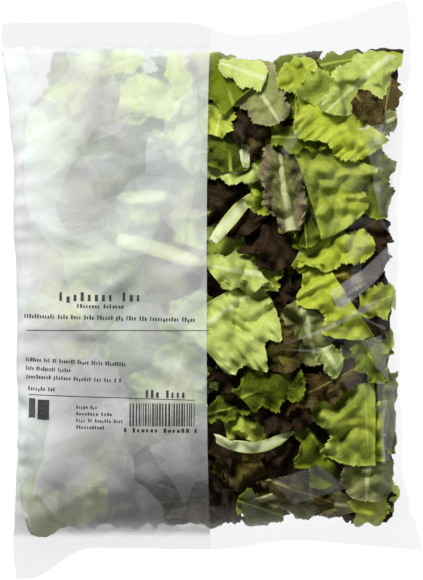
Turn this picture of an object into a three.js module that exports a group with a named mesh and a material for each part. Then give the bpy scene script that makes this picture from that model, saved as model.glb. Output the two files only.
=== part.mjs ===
// A pillow bag of salad leaves, lying on its back on a table: a tube of thin film, sealed flat across both
// ends and filled with cut leaves. The filling draws the sides in at the waist, lifts the front into uneven
// lumps and presses the back flat against the table. At each end the film gathers into puckers and runs out
// into a flat seal whose free edge waves. One closed solid stands for the shut bag and all that is in it.
//
// Millimetres. +X runs across the bag, +Y along it to the top seal, +Z up out of the front. The origin is at
// the middle of the bag's footprint, on the table.
import * as THREE from "three";

// Driving dimensions.
const LENGTH = 284; // from the lowest corner of the bottom seal to the highest corner of the top seal
const SEAL_WIDTH = 201; // the flat film tube, across its seals
const WAIST_WIDTH = 186; // across the filled body
const FRONT_RISE = 36; // the front above the side folds, at the fattest
const BACK_DROP = 24; // the back below the side folds, before the table flattens it
const FOLD_HEIGHT = 17; // the side folds above the table, at the waist
const SEAL_HEIGHT = 7; // the inner line of each seal above the table
const SEAL_THICKNESS = 0.9; // two films and the filling's crumbs between them
const SEAL_INSET = 13; // from the top seal's straight free edge to its inner line
const BOTTOM_INSET = 9; // the same for the bottom seal
const EDGE_FOLLOW = 0.35; // how far a seal's inner line follows its free edge
const CORNER_LOSS = 0.55; // how much flatter the corners stay than the rest
const EDGE_HEIGHT = 3.4; // the seals' free edges above the table
const SIDE_RIPPLE = 0.9; // how far the side folds wander in and out

// How finely the film is divided.
const COLUMNS = 42; // across
const BODY_ROWS = 46; // along the filled body
const SEAL_ROWS = 4; // along each seal
const CROWDING = 0.45; // from 0, even rows, to 1, rows crowded towards the seals

// Where the waves of each end start, in radians.
const TOP_PHASE = 0.6;
const BOTTOM_PHASE = 2.4;

// The four edges, each as [place along it, how far out it lies]. Between two points an edge eases smoothly.
const halfSeal = SEAL_WIDTH / 2;
const halfWaist = WAIST_WIDTH / 2;
const halfLength = LENGTH / 2;
const cornerUp = halfLength; // the top right corner stands out flat
const cornerDown = -halfLength; // and so does the bottom left one
const topLine = cornerUp - 10;
const bottomLine = cornerDown + 15;
const TOP_EDGE = [
  [-halfSeal, topLine - 0.5],
  [-10, topLine],
  [14, topLine - 7],
  [37, topLine - 6],
  [60, topLine],
  [halfSeal - 3, cornerUp],
];
const BOTTOM_EDGE = [
  [-halfSeal + 5, cornerDown],
  [-halfSeal + 38, bottomLine],
  [0, bottomLine - 0.5],
  [38, bottomLine + 4],
  [halfSeal, bottomLine - 0.5],
];
const LEFT_EDGE = [
  [cornerDown, -halfSeal + 5.5],
  [-125, -halfSeal + 3.5],
  [-90, -halfWaist - 1.5],
  [-20, -halfWaist - 1],
  [60, -halfWaist - 3.5],
  [topLine, -halfSeal - 2],
];
const RIGHT_EDGE = [
  [bottomLine, halfSeal + 3],
  [-104, halfSeal - 3],
  [-88, halfWaist + 0.5],
  [40, halfWaist - 1.5],
  [80, halfWaist + 1.5],
  [115, halfSeal - 2.5],
  [cornerUp, halfSeal - 3.5],
];

const clamp = THREE.MathUtils.clamp;
const lerp = THREE.MathUtils.lerp;

/** Value of an edge at one place along it, eased between its points. */
function along(points, place) {
  const last = points.length - 1;
  if (place <= points[0][0]) return points[0][1];
  if (place >= points[last][0]) return points[last][1];
  const next = points.findIndex((point) => point[0] > place);
  const [from, to] = [points[next - 1], points[next]];
  return lerp(from[1], to[1], THREE.MathUtils.smoothstep(place, from[0], to[0]));
}

/** A fixed number from 0 to 1 for each whole grid place. */
function hash(i, j) {
  const wave = Math.sin(i * 127.1 + j * 311.7) * 43758.5453;
  return wave - Math.floor(wave);
}

/** Smooth noise from -1 to 1 whose lumps are one unit across. */
function noise(x, y) {
  const i = Math.floor(x);
  const j = Math.floor(y);
  const u = THREE.MathUtils.smootherstep(x - i, 0, 1);
  const v = THREE.MathUtils.smootherstep(y - j, 0, 1);
  const low = lerp(hash(i, j), hash(i + 1, j), u);
  const high = lerp(hash(i, j + 1), hash(i + 1, j + 1), u);
  return 2 * lerp(low, high, v) - 1;
}

/** Lumps that the leaves press into the film: broad ones, and smaller ones on them. */
function lumps(x, y) {
  const BROAD = { across: 38, height: 2.6 };
  const SMALL = { across: 17, height: 1.3 };
  const broad = BROAD.height * noise(x / BROAD.across + 5.3, y / BROAD.across + 2.1);
  return broad + SMALL.height * noise(x / SMALL.across, y / SMALL.across);
}

/** Puckers that run in from a seal, deepest a little way off it. */
function puckers(x, distance, phase) {
  const DEPTH = 1.9;
  const REACH = 13;
  const SPACING = 21;
  const DRIFT = { across: 30, turn: 3.2 }; // how the spacing wanders
  const swell = (distance / REACH) * Math.exp(1 - distance / REACH);
  const drift = DRIFT.turn * noise(x / DRIFT.across + phase, phase);
  return DEPTH * swell * Math.sin((2 * Math.PI * x) / SPACING + drift + phase);
}

/** How full the body is from 0 to 1, where t runs from -1 at the bottom seal to 1 at the top seal. */
function fullness(t) {
  const BLUNTNESS = 3.1;
  const ROUNDNESS = 0.6;
  const SLUMP = 0.05; // the leaves settle a little towards the bottom
  return Math.pow(1 - Math.pow(Math.abs(t), BLUNTNESS), ROUNDNESS) * (1 - SLUMP * t);
}

/** Height of a seal between its inner line (0) and its free edge (1), which sinks low and waves. */
function sealHeight(x, share, phase) {
  const WAVE = { length: 74, height: 1.82 };
  const RIPPLE = { length: 29, height: 0.819 };
  const wave = WAVE.height * Math.sin((2 * Math.PI * x) / WAVE.length + phase);
  const ripple = RIPPLE.height * Math.sin((2 * Math.PI * x) / RIPPLE.length + 2 * phase);
  return lerp(SEAL_HEIGHT, EDGE_HEIGHT + wave + ripple, THREE.MathUtils.smoothstep(share, 0, 1));
}

/** Place across the bag at a height y, from -1 at the left fold to 1 at the right fold. */
function acrossAt(p, y) {
  const RIPPLE_LENGTH = 13;
  const left = along(LEFT_EDGE, y);
  const right = along(RIGHT_EDGE, y);
  const ripple = SIDE_RIPPLE * noise(y / RIPPLE_LENGTH, p > 0 ? 7 : 3) * Math.pow(Math.abs(p), 6);
  return (left + right) / 2 + ((right - left) / 2 + ripple) * Math.sin((p * Math.PI) / 2);
}

/** A point of a flat seal, share of the way from its inner line to its free edge, on one side. */
function sealPoint(p, y, share, phase, front) {
  const half = SEAL_THICKNESS / 2;
  const x = acrossAt(p, y);
  const z = Math.max(half, sealHeight(x, share, phase));
  return [x, y, front ? z + half : z - half];
}

/** A point of the filled body, t from -1 at the bottom seal to 1 at the top seal, on one side. */
function bodyPoint(p, y, t, toSeal, front) {
  const FRONT_BLUNTNESS = 0.74;
  const BACK_BLUNTNESS = 0.6;
  const BACK_LUMPS = 0.5; // the table evens the back out
  const half = SEAL_THICKNESS / 2;
  const x = acrossAt(p, y);
  const full = fullness(t);
  const corner = 1 - CORNER_LOSS * Math.pow(Math.abs(p), 3) * Math.pow(Math.abs(t), 5);
  const fold = lerp(SEAL_HEIGHT, FOLD_HEIGHT, Math.min(1, full));
  const across = Math.cos((p * Math.PI) / 2);
  const soft = full * Math.min(1, 1.6 * across);
  if (front) {
    const rise = FRONT_RISE * full * corner * Math.pow(across, FRONT_BLUNTNESS);
    const gathers = Math.min(1, 2 * across) * puckers(x, toSeal, t > 0 ? TOP_PHASE : BOTTOM_PHASE);
    return [x, y, fold + half * (1 - full) + Math.max(0, rise + soft * lumps(x, y) + gathers)];
  }
  const drop = BACK_DROP * full * corner * Math.pow(across, BACK_BLUNTNESS);
  const uneven = BACK_LUMPS * soft * lumps(x + 90, y - 40);
  return [x, y, Math.max(0, fold - half * (1 - full) - Math.max(0, drop + uneven))];
}

/** One point of the film: p from -1 (left fold) to 1 (right fold), row from 0 to the last, on one side. */
function filmPoint(p, row, front) {
  const nominal = Math.sin((p * Math.PI) / 2) * halfSeal;
  const topEdge = along(TOP_EDGE, nominal);
  const bottomEdge = along(BOTTOM_EDGE, nominal);
  const topSeal = topLine - SEAL_INSET + EDGE_FOLLOW * (topEdge - topLine);
  const bottomSeal = bottomLine + BOTTOM_INSET + EDGE_FOLLOW * (bottomEdge - bottomLine);
  const lastBody = SEAL_ROWS + BODY_ROWS;
  if (row < SEAL_ROWS) {
    const share = 1 - row / SEAL_ROWS;
    return sealPoint(p, lerp(bottomSeal, bottomEdge, share), share, BOTTOM_PHASE, front);
  }
  if (row > lastBody) {
    const share = (row - lastBody) / SEAL_ROWS;
    return sealPoint(p, lerp(topSeal, topEdge, share), share, TOP_PHASE, front);
  }
  const share = (row - SEAL_ROWS) / BODY_ROWS;
  const t = lerp(2 * share - 1, -Math.cos(share * Math.PI), CROWDING);
  const y = lerp(bottomSeal, topSeal, (t + 1) / 2);
  return bodyPoint(p, y, t, Math.min(y - bottomSeal, topSeal - y), front);
}

/** The bag's closed skin: a front and a back sheet that share the side folds and meet at the free edges. */
function bagGeometry() {
  const rows = BODY_ROWS + 2 * SEAL_ROWS;
  const places = [];
  const faces = [];
  const number = new Map();
  const vertex = (column, row, front) => {
    const onFold = column === 0 || column === COLUMNS;
    const key = `${column},${row},${onFold || front}`;
    if (!number.has(key)) {
      number.set(key, places.length);
      const p = clamp((2 * column) / COLUMNS - 1, -1, 1);
      const place = filmPoint(p, row, front);
      if (onFold) place[2] = (place[2] + filmPoint(p, row, !front)[2]) / 2;
      places.push(place);
    }
    return number.get(key);
  };
  const quad = (a, b, c, d) => faces.push(a, b, c, a, c, d);
  for (let row = 0; row < rows; row += 1) {
    for (let column = 0; column < COLUMNS; column += 1) {
      const corners = (front) => [
        vertex(column, row, front),
        vertex(column + 1, row, front),
        vertex(column + 1, row + 1, front),
        vertex(column, row + 1, front),
      ];
      quad(...corners(true));
      quad(...corners(false).reverse());
    }
  }
  for (let column = 0; column < COLUMNS; column += 1) {
    const low = [vertex(column, 0, false), vertex(column + 1, 0, false)];
    quad(...low, vertex(column + 1, 0, true), vertex(column, 0, true));
    const high = [vertex(column, rows, true), vertex(column + 1, rows, true)];
    quad(...high, vertex(column + 1, rows, false), vertex(column, rows, false));
  }
  const kept = [];
  for (let i = 0; i < faces.length; i += 3) {
    const [a, b, c] = faces.slice(i, i + 3);
    if (a !== b && b !== c && c !== a) kept.push(a, b, c);
  }
  const geometry = new THREE.BufferGeometry();
  geometry.setAttribute("position", new THREE.Float32BufferAttribute(places.flat(), 3));
  geometry.setIndex(kept);
  geometry.computeVertexNormals();
  geometry.computeBoundingBox();
  const box = geometry.boundingBox;
  geometry.translate(-(box.min.x + box.max.x) / 2, -(box.min.y + box.max.y) / 2, -box.min.z);
  return geometry;
}

const film = new THREE.MeshStandardMaterial({
  color: new THREE.Color().setRGB(0.36, 0.47, 0.16),
  roughness: 0.25,
  metalness: 0,
});

const bag = new THREE.Mesh(bagGeometry(), film);
bag.name = "bag";

const model = new THREE.Group();
model.add(bag);
export default model;
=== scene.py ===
"""A sealed film bag of mixed salad leaves, lying on its back.

The film is clear on one half and milky, with dark print, on the other. Cut leaves lie under it, in front
and on the back.
"""

import math

import bmesh
import bpy
import numpy as np
from bpy.props import FloatProperty, FloatVectorProperty, IntProperty, PointerProperty
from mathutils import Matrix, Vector
from mathutils.bvhtree import BVHTree


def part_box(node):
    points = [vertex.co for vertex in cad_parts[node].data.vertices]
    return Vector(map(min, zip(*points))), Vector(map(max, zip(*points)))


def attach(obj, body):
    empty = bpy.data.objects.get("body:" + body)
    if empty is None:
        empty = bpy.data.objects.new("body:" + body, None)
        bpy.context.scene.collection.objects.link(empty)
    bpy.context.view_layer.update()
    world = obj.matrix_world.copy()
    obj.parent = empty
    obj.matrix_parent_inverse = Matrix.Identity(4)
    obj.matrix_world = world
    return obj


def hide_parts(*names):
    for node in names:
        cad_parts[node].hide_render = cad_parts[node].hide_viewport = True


bl_info = {
    "name": "Bag of salad leaves",
    "version": (1, 0, 0),
    "blender": (4, 5, 0),
    "location": "View3D > Sidebar > Salad bag",
    "description": "Fills a pillow bag of film with cut salad leaves",
    "category": "Add Mesh",
}

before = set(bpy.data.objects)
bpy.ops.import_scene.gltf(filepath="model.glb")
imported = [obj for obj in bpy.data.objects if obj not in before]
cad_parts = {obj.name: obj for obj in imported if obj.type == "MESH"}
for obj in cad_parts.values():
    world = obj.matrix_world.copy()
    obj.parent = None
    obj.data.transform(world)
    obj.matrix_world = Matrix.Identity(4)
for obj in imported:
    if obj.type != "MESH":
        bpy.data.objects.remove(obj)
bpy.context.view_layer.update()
bag_low, bag_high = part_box("bag")
BODY = "root"
MM = 0.001  # everything about leaves and film is worked out in millimetres
WIDTH = (bag_high.x - bag_low.x) / MM
LENGTH = (bag_high.y - bag_low.y) / MM
HEIGHT = (bag_high.z - bag_low.z) / MM
PRINT_EDGE = -0.011 * WIDTH  # the milky print stops here, just left of the middle


# --------------------------------------------------------------------------------------------------
# Settings that a user would change


class FilmSettings(bpy.types.PropertyGroup):
    """The film and the print on it."""

    pucker_depth: FloatProperty(
        name="Pucker depth",
        description="Depth of the fine puckers beside the seals, in mm",
        default=0.55,
        min=0.0,
    )
    crease_height: FloatProperty(
        name="Crease height",
        description="Height of the sharp creases in the film, in mm",
        default=2.0,
        min=0.0,
    )
    haze: FloatProperty(
        name="Haze",
        description="Share of light that the milky print scatters",
        default=0.55,
        subtype="FACTOR",
    )
    milk: FloatVectorProperty(
        name="Milk",
        description="Colour of the milky print",
        subtype="COLOR",
        default=(0.9, 0.905, 0.898),
    )
    ink: FloatVectorProperty(
        name="Ink",
        description="Colour of the dark print",
        subtype="COLOR",
        default=(0.03, 0.032, 0.036),
    )


class LeafSettings(bpy.types.PropertyGroup):
    """The leaves."""

    front_fill: IntProperty(
        name="Front leaves", description="Leaves strewn under those laid by hand", default=34
    )
    milky_fill: IntProperty(
        name="Milky leaves", description="More leaves behind the milky print", default=22
    )
    back_fill: IntProperty(name="Back leaves", description="Leaves strewn on the back", default=70)
    seed: IntProperty(name="Seed", description="Fixes how the leaves fall", default=11)
    thickness: FloatProperty(
        name="Thickness", description="Thickness of a leaf's blade, in mm", default=0.42
    )


class StageSettings(bpy.types.PropertyGroup):
    """Floor, lights and camera."""

    floor: FloatVectorProperty(
        name="Floor", description="Colour of the floor", subtype="COLOR", default=(0.93, 0.93, 0.93)
    )
    floor_glow: FloatProperty(
        name="Floor glow",
        description="Share of light that the floor gives off itself",
        default=0.965,
        subtype="FACTOR",
    )
    ambient: FloatProperty(
        name="Ambient", description="Strength of the light from all round", default=0.03
    )
    lens: FloatProperty(name="Lens", description="Focal length of the camera, in mm", default=240.0)


# --------------------------------------------------------------------------------------------------
# Small helpers


def smoothstep(value, low, high):
    """0 below low, 1 above high and a smooth rise between, for arrays."""
    share = np.clip((value - low) / (high - low), 0.0, 1.0)
    return share * share * (3.0 - 2.0 * share)


def lattice(i, j, seed):
    """A fixed number from -1 to 1 for each whole place on a grid."""
    wave = np.sin(i * 127.1 + j * 311.7 + seed * 74.7) * 43758.5453
    return 2.0 * (wave - np.floor(wave)) - 1.0


def noise(x, y, seed=0.0):
    """Smooth noise from -1 to 1 whose lumps are one unit across, for arrays."""
    i, j = np.floor(x), np.floor(y)
    u, v = smoothstep(x - i, 0.0, 1.0), smoothstep(y - j, 0.0, 1.0)
    low = lattice(i, j, seed) * (1 - u) + lattice(i + 1, j, seed) * u
    high = lattice(i, j + 1, seed) * (1 - u) + lattice(i + 1, j + 1, seed) * u
    return low * (1 - v) + high * v


def grid_quads(index):
    """The quads between the places of a grid, whose numbers are in index."""
    corners = [index[:-1, :-1], index[1:, :-1], index[1:, 1:], index[:-1, 1:]]
    return np.stack(corners, -1).reshape(-1, 4)


def new_object(name, mesh):
    """Links a mesh as a new object."""
    made = bpy.data.objects.new(name, mesh)
    bpy.context.scene.collection.objects.link(made)
    return made


def evaluated_mesh(source, name):
    """A plain mesh of an object with its modifiers applied."""
    graph = bpy.context.evaluated_depsgraph_get()
    mesh = bpy.data.meshes.new_from_object(source.evaluated_get(graph))
    mesh.name = name
    return mesh


def places_of(mesh):
    """The mesh's vertices in millimetres, as rows."""
    flat = np.empty(len(mesh.vertices) * 3, np.float32)
    mesh.vertices.foreach_get("co", flat)
    return flat.reshape(-1, 3).astype(float) / MM


def set_places(mesh, places):
    """Moves the mesh's vertices to places in millimetres."""
    mesh.vertices.foreach_set("co", (places * MM).astype(np.float32).ravel())
    mesh.update()


def settle(piece):
    """Makes a finished piece ride on the bag."""
    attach(piece, BODY)
    return piece


# --------------------------------------------------------------------------------------------------
# Materials


class Nodes:
    """Builds a material's node tree in few words."""

    def __init__(self, name):
        self.material = bpy.data.materials.new(name)
        self.material.use_nodes = True
        self.tree = self.material.node_tree
        self.tree.nodes.clear()
        self.output = self.tree.nodes.new("ShaderNodeOutputMaterial")

    def node(self, kind, inputs=None, **settings):
        """A new node with its inputs set to values or linked to sockets."""
        made = self.tree.nodes.new(kind)
        for key, value in settings.items():
            setattr(made, key, value)
        for key, value in (inputs or {}).items():
            self.put(made.inputs[key], value)
        return made

    def put(self, socket, value):
        """Links a socket, or sets its plain value."""
        if isinstance(value, bpy.types.NodeSocket):
            self.tree.links.new(value, socket)
        else:
            socket.default_value = value

    def math(self, operation, a, b=0.0, c=None, clamp=False):
        """A maths node's result."""
        made = self.node("ShaderNodeMath", operation=operation, use_clamp=clamp)
        self.put(made.inputs[0], a)
        self.put(made.inputs[1], b)
        if c is not None:
            self.put(made.inputs[2], c)
        return made.outputs[0]

    def vector(self, operation, a, b):
        """A vector maths node's result."""
        return self.node("ShaderNodeVectorMath", {0: a, 1: b}, operation=operation).outputs[0]

    def ease(self, value, low, high, start=0.0, end=1.0):
        """Maps value from low..high to start..end with a smooth rise."""
        inputs = {"Value": value, "From Min": low, "From Max": high, "To Min": start, "To Max": end}
        made = self.node("ShaderNodeMapRange", inputs, interpolation_type="SMOOTHSTEP")
        return made.outputs["Result"]

    def blend(self, share, a, b):
        """A mix of two colours."""
        made = self.node("ShaderNodeMix", data_type="RGBA")
        self.put(made.inputs["Factor"], share)
        for socket, value in ((made.inputs[6], a), (made.inputs[7], b)):
            plain = isinstance(value, (tuple, list)) and len(value) == 3
            self.put(socket, (*value, 1.0) if plain else value)
        return made.outputs[2]

    def noise(self, vector, scale, detail=2.0, roughness=0.5, distortion=0.0):
        """Noise from 0 to 1 at a scale in patterns per metre."""
        inputs = {
            "Vector": vector,
            "Scale": scale,
            "Detail": detail,
            "Roughness": roughness,
            "Distortion": distortion,
        }
        return self.node("ShaderNodeTexNoise", inputs).outputs["Fac"]

    def own_places(self):
        """The piece's own coordinates."""
        return self.node("ShaderNodeTexCoord").outputs["Object"]

    def attribute(self, name):
        """The three numbers of a vector attribute."""
        vector = self.node("ShaderNodeAttribute", attribute_name=name).outputs["Vector"]
        return self.node("ShaderNodeSeparateXYZ", {"Vector": vector}).outputs

    def finish(self, surface):
        """Links the surface and returns the material."""
        self.tree.links.new(surface, self.output.inputs["Surface"])
        return self.material


LEAF_SHINE = 0.2  # how strongly a leaf mirrors the lamps
SHINE_TINT = (1.0, 0.93, 0.5, 1.0)  # what it mirrors is yellower
LEAF_GLOW = 0.3  # share of light that passes through a leaf's blade
GLOW_TINT = (1.08, 1.14, 0.4)  # light that has passed through a leaf is yellower


def leaf_material(name, dark, light, rib, margin, blush, gloss):
    """A leaf's finish: mottled blade, pale rib and veins, fine net, tinted margin and a blush of red."""
    n = Nodes(name)
    places = n.own_places()
    pattern = n.attribute("pattern")  # rib distance, side vein number, distance from the margin
    look = n.attribute("look")  # tone, blush, paleness; tone and paleness carry painted ridge shading
    mottle = n.noise(places, 330.0, 5.0, 0.72)
    patches = n.noise(places, 70.0, 2.0)
    # tone, with painted light on the leaf's ridges and painted shade in its hollows
    tone_and_painted_shade = n.math("ADD", n.math("MULTIPLY", look["X"], 0.75), n.math("MULTIPLY", mottle, 0.7))
    tone_and_painted_shade = n.math("ADD", tone_and_painted_shade, n.math("MULTIPLY", patches, 0.35))
    colour = n.blend(n.ease(tone_and_painted_shade, 0.37, 1.23), dark, light)
    turned = n.math("ADD", look["Y"], n.math("MULTIPLY", n.math("SUBTRACT", mottle, 0.5), 0.9))
    turned = n.math("ADD", turned, n.ease(pattern["Z"], 9.0, 0.0, -0.12, 0.3))
    colour = n.blend(n.ease(turned, 0.35, 0.75), colour, blush)
    vein = n.ease(n.math("PINGPONG", pattern["Y"], 0.5), 0.05, 0.0)
    net = n.node(
        "ShaderNodeTexVoronoi",
        {"Vector": places, "Scale": 700.0, "Randomness": 0.9},
        feature="DISTANCE_TO_EDGE",
    )
    net_line = n.ease(net.outputs["Distance"], 0.12, 0.0)
    colour = n.blend(n.math("MULTIPLY", net_line, 0.2), colour, rib)
    colour = n.blend(n.math("MULTIPLY", vein, 0.46), colour, rib)
    colour = n.blend(n.math("MULTIPLY", n.ease(pattern["Z"], 1.6, 0.1), 0.55), colour, margin)
    pale = n.ease(pattern["X"], 1.0, 0.35)
    colour = n.blend(n.math("MULTIPLY", pale, 0.9), colour, rib)
    # paleness, partly a painted highlight on the ridges
    colour = n.blend(n.math("MULTIPLY", look["Z"], 0.55), colour, rib)
    relief = n.math("ADD", n.math("MULTIPLY", vein, -0.6), n.math("MULTIPLY", net_line, -0.1))
    relief = n.math("ADD", relief, n.math("MULTIPLY", n.noise(places, 500.0, 4.0, 0.6), 0.9))
    bump = n.node("ShaderNodeBump", {"Height": relief, "Strength": 0.35, "Distance": 0.0006})
    skin = n.node(
        "ShaderNodeBsdfPrincipled",
        {
            "Base Color": colour,
            "Roughness": n.ease(mottle, 0.3, 0.8, gloss - 0.08, gloss + 0.1),
            "Normal": bump.outputs["Normal"],
            "Specular IOR Level": LEAF_SHINE,
            "Specular Tint": SHINE_TINT,
        },
    )
    deeper = n.vector("MULTIPLY", colour, GLOW_TINT)
    glow = n.node("ShaderNodeBsdfTranslucent", {"Color": deeper, "Normal": bump.outputs["Normal"]})
    mixed = n.node("ShaderNodeMixShader", {"Fac": LEAF_GLOW, 1: skin.outputs[0], 2: glow.outputs[0]})
    return n.finish(mixed.outputs[0])


WHITE = (1.0, 1.0, 1.0, 1.0)


def mirror_share(n, straight, grazing):
    """How much a thin film mirrors: little head on, more at a slant, and the same from both sides."""
    facing = n.node("ShaderNodeLayerWeight", {"Blend": 0.5}).outputs["Facing"]
    slanted = n.math("MULTIPLY", n.math("POWER", facing, 4.0), grazing)
    return n.math("ADD", straight, slanted, clamp=True)


def clear_film_material():
    """Glossy clear film: what is behind it shows through, and it mirrors the lights in its creases."""
    n = Nodes("clear_film")
    places = n.own_places()
    ripple = n.noise(places, 130.0, 3.0, 0.55, 0.4)
    bump = n.node("ShaderNodeBump", {"Height": ripple, "Strength": 0.25, "Distance": 0.0012})
    through = n.node("ShaderNodeBsdfTransparent", {"Color": (0.94, 0.947, 0.945, 1.0)})
    gloss = n.node(
        "ShaderNodeBsdfGlossy", {"Color": WHITE, "Roughness": 0.09, "Normal": bump.outputs["Normal"]}
    )
    share = mirror_share(n, 0.006, 0.6)
    mixed = n.node("ShaderNodeMixShader", {"Fac": share, 1: through.outputs[0], 2: gloss.outputs[0]})
    return n.finish(mixed.outputs[0])


def fold_sheen_material():
    """A doubled layer of film: see-through with a faint haze, a painted reflection."""
    n = Nodes("film_fold")
    through = n.node("ShaderNodeBsdfTransparent", {"Color": (0.97, 0.97, 0.97, 1.0)})
    haze = n.node("ShaderNodeBsdfDiffuse", {"Color": (0.9, 0.88, 0.87, 1.0)})
    gloss = n.node("ShaderNodeBsdfGlossy", {"Color": WHITE, "Roughness": 0.2})
    # painted reflection: a whitish haze, full inside each patch and fading out at its edges
    strength = n.node("ShaderNodeAttribute", attribute_name="haze").outputs["Fac"]
    share = n.math("MULTIPLY", strength, 0.13)
    hazy = n.node("ShaderNodeMixShader", {"Fac": share, 1: through.outputs[0], 2: haze.outputs[0]})
    shine = mirror_share(n, 0.03, 0.3)
    mixed = n.node("ShaderNodeMixShader", {"Fac": shine, 1: hazy.outputs[0], 2: gloss.outputs[0]})
    return n.finish(mixed.outputs[0])


# Facets of the crumpled milky film, with painted shading: each stops a little more or less light than the
# next, so that they look lit from different sides. How many to a metre, how far their edges bend, how much
# shorter they are along the bag than across it, and how much less or more light each of them stops
MILKY_FACET_SHADES = (
    (46.0, 0.014, 0.6, (-0.06, 0.08)),
    (75.0, 0.006, 1.7, (-0.04, 0.05)),
    (190.0, 0.004, 1.2, (-0.02, 0.02)),
)
WELD_FROM, WELD_TO = 25.0, 20.0  # the film is welded between these and the ends, in mm
WELD_SHARE = 0.02  # share of light that the coat stops where it is welded
UNDER_SHADE_TINT, UNDER_SHADE_COAT = (0.66, 0.665, 0.665), (0.58, 0.585, 0.59)  # painted shade of the sheet on the table


def film_facets(n, places):
    """Random colours per facet of the milky film, coarse facets first, for painted shading and tint."""
    wander = n.node("ShaderNodeTexNoise", {"Vector": places, "Scale": 38.0, "Detail": 1.0}).outputs["Color"]
    facets = []
    for scale, bend, squash, _ in MILKY_FACET_SHADES:
        drawn = n.vector("MULTIPLY", places, (1.0, squash, 0.0))
        bent = n.node("ShaderNodeVectorMath", {0: wander, "Scale": bend}, operation="SCALE").outputs[0]
        cells = n.node("ShaderNodeTexVoronoi", {"Vector": n.vector("ADD", drawn, bent), "Scale": scale})
        facets.append(n.node("ShaderNodeSeparateColor", {"Color": cells.outputs["Color"]}).outputs)
    return facets


def milky_share(n, places, spot, facets, haze):
    """Share of light that the milky coat stops: most at the left side, least at the foot."""
    end, side = LENGTH / 2 * MM, WIDTH / 2 * MM
    # painted shading: each facet stops a little more or less light, more so towards the foot
    facet_shades = [n.ease(cell["Red"], 0.0, 1.0, *span) for cell, (*_, span) in zip(facets, MILKY_FACET_SHADES)]
    facet_shade = n.math("ADD", n.math("ADD", facet_shades[0], facet_shades[1]), facet_shades[2])
    cloud = n.noise(places, 55.0, 3.0, 0.5)
    share = n.ease(cloud, 0.3, 0.7, haze - 0.04, haze + 0.02)
    share = n.math("ADD", share, n.ease(spot["Y"], 0.2 * end, 0.7 * end, 0.0, -0.04))
    share = n.math("MULTIPLY_ADD", facet_shade, n.ease(spot["Y"], -0.25 * end, -0.6 * end, 1.0, 1.4), share)
    thinner = n.ease(spot["Y"], -0.45 * end, -0.84 * end, 0.0, -0.34)
    by_side = n.ease(spot["X"], -0.75 * side, -0.4 * side, 0.45, 1.0)
    share = n.math("MULTIPLY_ADD", thinner, by_side, share)
    denser = n.ease(spot["X"], -0.58 * side, -0.93 * side, 0.0, 0.42)
    denser = n.math("MULTIPLY", denser, n.ease(spot["Y"], 0.85 * end, 0.45 * end))
    share = n.math("MULTIPLY_ADD", denser, n.ease(spot["Y"], -0.75 * end, -0.5 * end), share)
    facing = n.node("ShaderNodeLayerWeight", {"Blend": 0.5}).outputs["Facing"]
    return n.math("ADD", share, n.ease(facing, 0.25, 0.9, 0.0, 0.3), clamp=True)


def milky_film_material(milk, haze):
    """The printed half of the film: a milky coat that scatters light, over the same film."""
    n = Nodes("milky_film")
    places = n.own_places()
    spot = n.node("ShaderNodeSeparateXYZ", {"Vector": places}).outputs
    end = LENGTH / 2 * MM
    welded = n.ease(n.math("ABSOLUTE", spot["Y"]), end - WELD_FROM * MM, end - WELD_TO * MM)
    # painted shade: the sheet on the table lets less light through and has a darker coat
    under = n.node("ShaderNodeAttribute", attribute_name="under").outputs["Fac"]
    tint = n.blend(under, (0.945, 0.945, 0.935), UNDER_SHADE_TINT)
    tint = n.blend(welded, tint, (0.925, 0.93, 0.93))
    through = n.node("ShaderNodeBsdfTransparent", {"Color": tint})
    facets = film_facets(n, places)
    share = milky_share(n, places, spot, facets, haze)
    share = n.math("ADD", share, n.math("MULTIPLY", n.math("SUBTRACT", WELD_SHARE, share), welded))
    greenish = (milk[0] * 0.94, milk[1], milk[2] * 0.975)
    reddish = (milk[0] * 0.985, milk[1] * 0.965, milk[2])
    tones = n.blend(under, n.blend(facets[0]["Green"], greenish, reddish), UNDER_SHADE_COAT)
    coat = n.node("ShaderNodeBsdfDiffuse", {"Color": tones})
    glow = n.node("ShaderNodeBsdfTranslucent", {"Color": tones})
    body = n.node("ShaderNodeMixShader", {"Fac": 0.36, 1: coat.outputs[0], 2: glow.outputs[0]})
    milky = n.node("ShaderNodeMixShader", {"Fac": share, 1: through.outputs[0], 2: body.outputs[0]})
    gloss = n.node("ShaderNodeBsdfGlossy", {"Color": WHITE, "Roughness": 0.25})
    shine = mirror_share(n, 0.02, 0.3)
    mixed = n.node("ShaderNodeMixShader", {"Fac": shine, 1: milky.outputs[0], 2: gloss.outputs[0]})
    return n.finish(mixed.outputs[0])


def ink_material(ink):
    """Dull dark print, a little worn."""
    n = Nodes("ink")
    places = n.own_places()
    wear = n.noise(places, 900.0, 3.0, 0.6)
    colour = n.blend(n.ease(wear, 0.35, 0.8, 0.0, 0.25), tuple(ink), (0.2, 0.2, 0.21))
    rough = n.ease(wear, 0.2, 0.8, 0.4, 0.6)
    surface = n.node("ShaderNodeBsdfPrincipled", {"Base Color": colour, "Roughness": rough})
    return n.finish(surface.outputs[0])


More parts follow.
